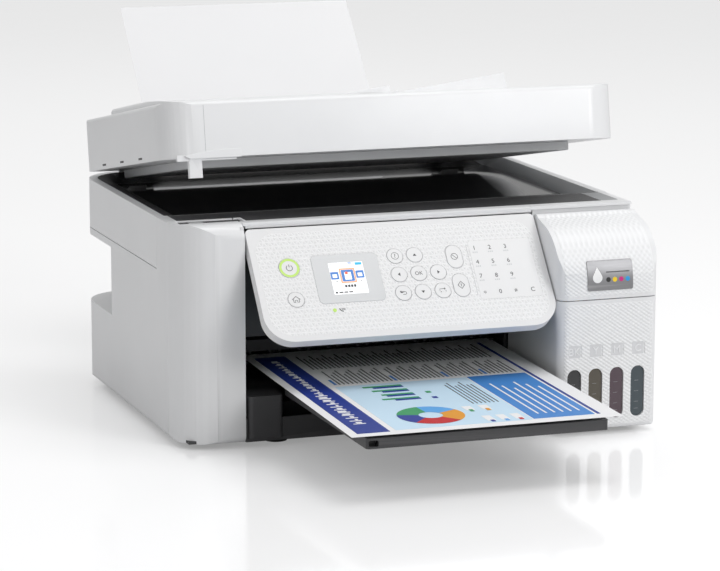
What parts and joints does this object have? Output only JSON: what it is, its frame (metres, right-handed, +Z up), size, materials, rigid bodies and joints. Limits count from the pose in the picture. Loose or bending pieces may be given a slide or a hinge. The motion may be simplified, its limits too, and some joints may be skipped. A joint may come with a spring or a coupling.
{
  "type": "inkjet printer",
  "caption": "Desktop inkjet printer with flatbed scanner, document feeder, tilting key panel, side ink tanks, rear sheet feed and sliding output tray.",
  "frame": {"origin": "middle of the whole outline's footprint, on the surface the feet stand on", "axes": "+Z up, +Y to the back, +X to the right as seen from the front; the output tray points to -Y"},
  "size_m": [0.375, 0.5964, 0.2706],
  "materials": {
    "white_shell": "fine satin moulded white",
    "white_panel": "fine triangle texture",
    "grey_pad": "smooth",
    "black_inner": "satin",
    "dark_tray": "fine grain",
    "black_glass": "mirror-like glass over a dark bed",
    "key_white": "smooth",
    "window_grey": "polished",
    "rail_steel": "zinc plated",
    "roller_rubber": "ground",
    "foot_rubber": "matt",
    "belt_rubber": "toothed",
    "tank_plastic": "smoky translucent",
    "cap_black": "satin",
    "cap_yellow": "satin",
    "cap_magenta": "satin",
    "cap_cyan": "satin",
    "badge_metal": "brushed",
    "board_green": "solder mask",
    "screw_steel": "plated",
    "motor_metal": "plated"
  },
  "bodies": {
    "root": {"base_pan": "dark_tray", "rubber_feet": "foot_rubber", "left_side_cover": "white_shell", "right_side_cover": "white_shell", "rear_cover": "white_shell", "front_deck": "white_shell", "front_liner": "black_inner", "main_rail": "rail_steel", "platen": "black_inner", "star_wheel_bar": "black_inner", "ink_tanks": "tank_plastic", "main_board": "board_green", "power_supply": "dark_tray", "capping_station": "dark_tray", "drive_motors": "motor_metal", "drive_belt": "belt_rubber", "case_screws": "screw_steel"},
    "feed_roller": {"feed_roller": "roller_rubber"},
    "eject_roller": {"eject_roller": "roller_rubber"},
    "pick_roller": {"pick_roller": "roller_rubber"},
    "carriage": {"carriage": "dark_tray", "print_head": "dark_tray"},
    "idler_pulley": {"idler_pulley": "motor_metal"},
    "output_tray": {"output_tray": "dark_tray"},
    "tray_stopper": {"tray_stopper": "dark_tray"},
    "tank_lid": {"tank_lid": "white_shell", "tank_badge": "badge_metal"},
    "tank_cap_black": {"tank_cap_black": "cap_black"},
    "tank_cap_yellow": {"tank_cap_yellow": "cap_yellow"},
    "tank_cap_magenta": {"tank_cap_magenta": "cap_magenta"},
    "tank_cap_cyan": {"tank_cap_cyan": "cap_cyan"},
    "control_panel": {"panel_shell": "white_panel", "display_window": "window_grey", "panel_board": "board_green", "number_keys": "white_panel"},
    "power_key": {"power_key": "key_white"},
    "home_key": {"home_key": "key_white"},
    "help_key": {"help_key": "key_white"},
    "up_key": {"up_key": "key_white"},
    "left_key": {"left_key": "key_white"},
    "ok_key": {"ok_key": "key_white"},
    "right_key": {"right_key": "key_white"},
    "back_key": {"back_key": "key_white"},
    "down_key": {"down_key": "key_white"},
    "more_key": {"more_key": "key_white"},
    "stop_key": {"stop_key": "key_white"},
    "start_key": {"start_key": "key_white"},
    "scanner": {"scanner_frame": "white_shell", "scanner_glass": "black_glass", "lid_hinges": "white_shell"},
    "sensor_bar": {"sensor_bar": "black_inner"},
    "document_lid": {"lid_shell": "white_shell", "lid_pad": "grey_pad"},
    "adf_cover": {"adf_cover": "white_shell"},
    "adf_input_tray": {"adf_input_tray": "white_shell"},
    "adf_edge_guide": {"adf_edge_guide": "white_shell"},
    "adf_roller": {"adf_roller": "roller_rubber"},
    "paper_support": {"paper_support": "white_shell"},
    "edge_guide_left": {"edge_guide_left": "white_shell"},
    "edge_guide_right": {"edge_guide_right": "white_shell"}
  },
  "joints": [
    {"name": "feed_spin", "type": "hinge", "parent": "root", "child": "feed_roller", "pos_m": [0, 0.09279, 0.0468], "axis": [1, 0, 0], "continuous": true},
    {"name": "eject_spin", "type": "hinge", "parent": "root", "child": "eject_roller", "pos_m": [0, -0.03121, 0.0513], "axis": [1, 0, 0], "continuous": true},
    {"name": "pick_spin", "type": "hinge", "parent": "root", "child": "pick_roller", "pos_m": [0, 0.14108, 0.10101], "axis": [1, 0, 0], "continuous": true},
    {"name": "carriage_slide", "type": "slide", "parent": "root", "child": "carriage", "axis": [1, 0, 0], "range_m": [-0.27, 0]},
    {"name": "idler_spin", "type": "hinge", "parent": "root", "child": "idler_pulley", "pos_m": [0.1685, 0.06878, 0.0821], "axis": [0, 0, 1], "range_deg": [-2000, 2000]},
    {"name": "tray_slide", "type": "slide", "parent": "root", "child": "output_tray", "axis": [0, 1, 0], "range_m": [0, 0.185]},
    {"name": "stopper_flip", "type": "hinge", "parent": "output_tray", "child": "tray_stopper", "pos_m": [0, -0.28021, 0.0436], "axis": [1, 0, 0], "range_deg": [0, 100]},
    {"name": "tank_lid_hinge", "type": "hinge", "parent": "root", "child": "tank_lid", "pos_m": [0.1465, -0.10781, 0.1616], "axis": [-1, 0, 0], "range_deg": [0, 60]},
    {"name": "cap_black_hinge", "type": "hinge", "parent": "root", "child": "tank_cap_black", "pos_m": [0.1168, -0.10922, 0.0945], "axis": [-1, 0, 0], "range_deg": [0, 90]},
    {"name": "cap_yellow_hinge", "type": "hinge", "parent": "root", "child": "tank_cap_yellow", "pos_m": [0.1346, -0.10922, 0.0945], "axis": [-1, 0, 0], "range_deg": [0, 90]},
    {"name": "cap_magenta_hinge", "type": "hinge", "parent": "root", "child": "tank_cap_magenta", "pos_m": [0.1524, -0.10922, 0.0945], "axis": [-1, 0, 0], "range_deg": [0, 90]},
    {"name": "cap_cyan_hinge", "type": "hinge", "parent": "root", "child": "tank_cap_cyan", "pos_m": [0.1702, -0.10922, 0.0945], "axis": [-1, 0, 0], "range_deg": [0, 90]},
    {"name": "panel_tilt", "type": "hinge", "parent": "root", "child": "control_panel", "pos_m": [-0.015, -0.09976, 0.15428], "axis": [-1, 0, 0], "range_deg": [-38, 25]},
    {"name": "power_press", "type": "slide", "parent": "control_panel", "child": "power_key", "axis": [0, 0.7848, -0.6198], "range_m": [0, 0.0008], "stiffness_N_per_m": 600},
    {"name": "home_press", "type": "slide", "parent": "control_panel", "child": "home_key", "axis": [0, 0.7848, -0.6198], "range_m": [0, 0.0008], "stiffness_N_per_m": 600},
    {"name": "help_press", "type": "slide", "parent": "control_panel", "child": "help_key", "axis": [0, 0.7848, -0.6198], "range_m": [0, 0.0008], "stiffness_N_per_m": 600},
    {"name": "up_press", "type": "slide", "parent": "control_panel", "child": "up_key", "axis": [0, 0.7848, -0.6198], "range_m": [0, 0.0008], "stiffness_N_per_m": 600},
    {"name": "left_press", "type": "slide", "parent": "control_panel", "child": "left_key", "axis": [0, 0.7848, -0.6198], "range_m": [0, 0.0008], "stiffness_N_per_m": 600},
    {"name": "ok_press", "type": "slide", "parent": "control_panel", "child": "ok_key", "axis": [0, 0.7848, -0.6198], "range_m": [0, 0.0008], "stiffness_N_per_m": 600},
    {"name": "right_press", "type": "slide", "parent": "control_panel", "child": "right_key", "axis": [0, 0.7848, -0.6198], "range_m": [0, 0.0008], "stiffness_N_per_m": 600},
    {"name": "back_press", "type": "slide", "parent": "control_panel", "child": "back_key", "axis": [0, 0.7848, -0.6198], "range_m": [0, 0.0008], "stiffness_N_per_m": 600},
    {"name": "down_press", "type": "slide", "parent": "control_panel", "child": "down_key", "axis": [0, 0.7848, -0.6198], "range_m": [0, 0.0008], "stiffness_N_per_m": 600},
    {"name": "more_press", "type": "slide", "parent": "control_panel", "child": "more_key", "axis": [0, 0.7848, -0.6198], "range_m": [0, 0.0008], "stiffness_N_per_m": 600},
    {"name": "stop_press", "type": "slide", "parent": "control_panel", "child": "stop_key", "axis": [0, 0.7848, -0.6198], "range_m": [0, 0.0008], "stiffness_N_per_m": 600},
    {"name": "start_press", "type": "slide", "parent": "control_panel", "child": "start_key", "axis": [0, 0.7848, -0.6198], "range_m": [0, 0.0008], "stiffness_N_per_m": 600},
    {"name": "scanner_lift", "type": "hinge", "parent": "root", "child": "scanner", "pos_m": [0, 0.18998, 0.13], "axis": [-1, 0, 0], "range_deg": [0, 30]},
    {"name": "sensor_slide", "type": "slide", "parent": "scanner", "child": "sensor_bar", "axis": [1, 0, 0], "range_m": [0, 0.29]},
    {"name": "lid_swing", "type": "hinge", "parent": "scanner", "child": "document_lid", "pos_m": [0, 0.17678, 0.1762], "axis": [-1, 0, 0], "range_deg": [-10.3, 40]},
    {"name": "adf_cover_hinge", "type": "hinge", "parent": "document_lid", "child": "adf_cover", "pos_m": [-0.1644, 0.06652, 0.24055], "axis": [0, -0.9839, 0.1788], "range_deg": [0, 70]},
    {"name": "adf_tray_hinge", "type": "hinge", "parent": "document_lid", "child": "adf_input_tray", "pos_m": [0.0128, 0.06635, 0.23967], "axis": [0, -0.9839, 0.1788], "range_deg": [0, 50]},
    {"name": "adf_guide_slide", "type": "slide", "parent": "adf_input_tray", "child": "adf_edge_guide", "axis": [0, -0.9839, 0.1788], "range_m": [0, 0.12]},
    {"name": "adf_roller_spin", "type": "hinge", "parent": "document_lid", "child": "adf_roller", "pos_m": [-0.026, 0.06507, 0.23258], "axis": [0, 0.9839, -0.1788], "continuous": true},
    {"name": "support_slide", "type": "slide", "parent": "root", "child": "paper_support", "axis": [0, -0.6678, -0.7443], "range_m": [0, 0.105]},
    {"name": "guide_left_slide", "type": "slide", "parent": "root", "child": "edge_guide_left", "axis": [1, 0, 0], "range_m": [0, 0.05]},
    {"name": "guide_right_slide", "type": "slide", "parent": "root", "child": "edge_guide_right", "axis": [1, 0, 0], "range_m": [-0.05, 0]}
  ],
  "couplings": [
    {"joint": "eject_spin", "follows": "feed_spin", "ratio": 2.2857},
    {"joint": "pick_spin", "follows": "feed_spin", "ratio": 0.6154},
    {"joint": "idler_spin", "follows": "carriage_slide", "rad_per_m": -125},
    {"joint": "guide_right_slide", "follows": "guide_left_slide", "ratio": -1}
  ]
}
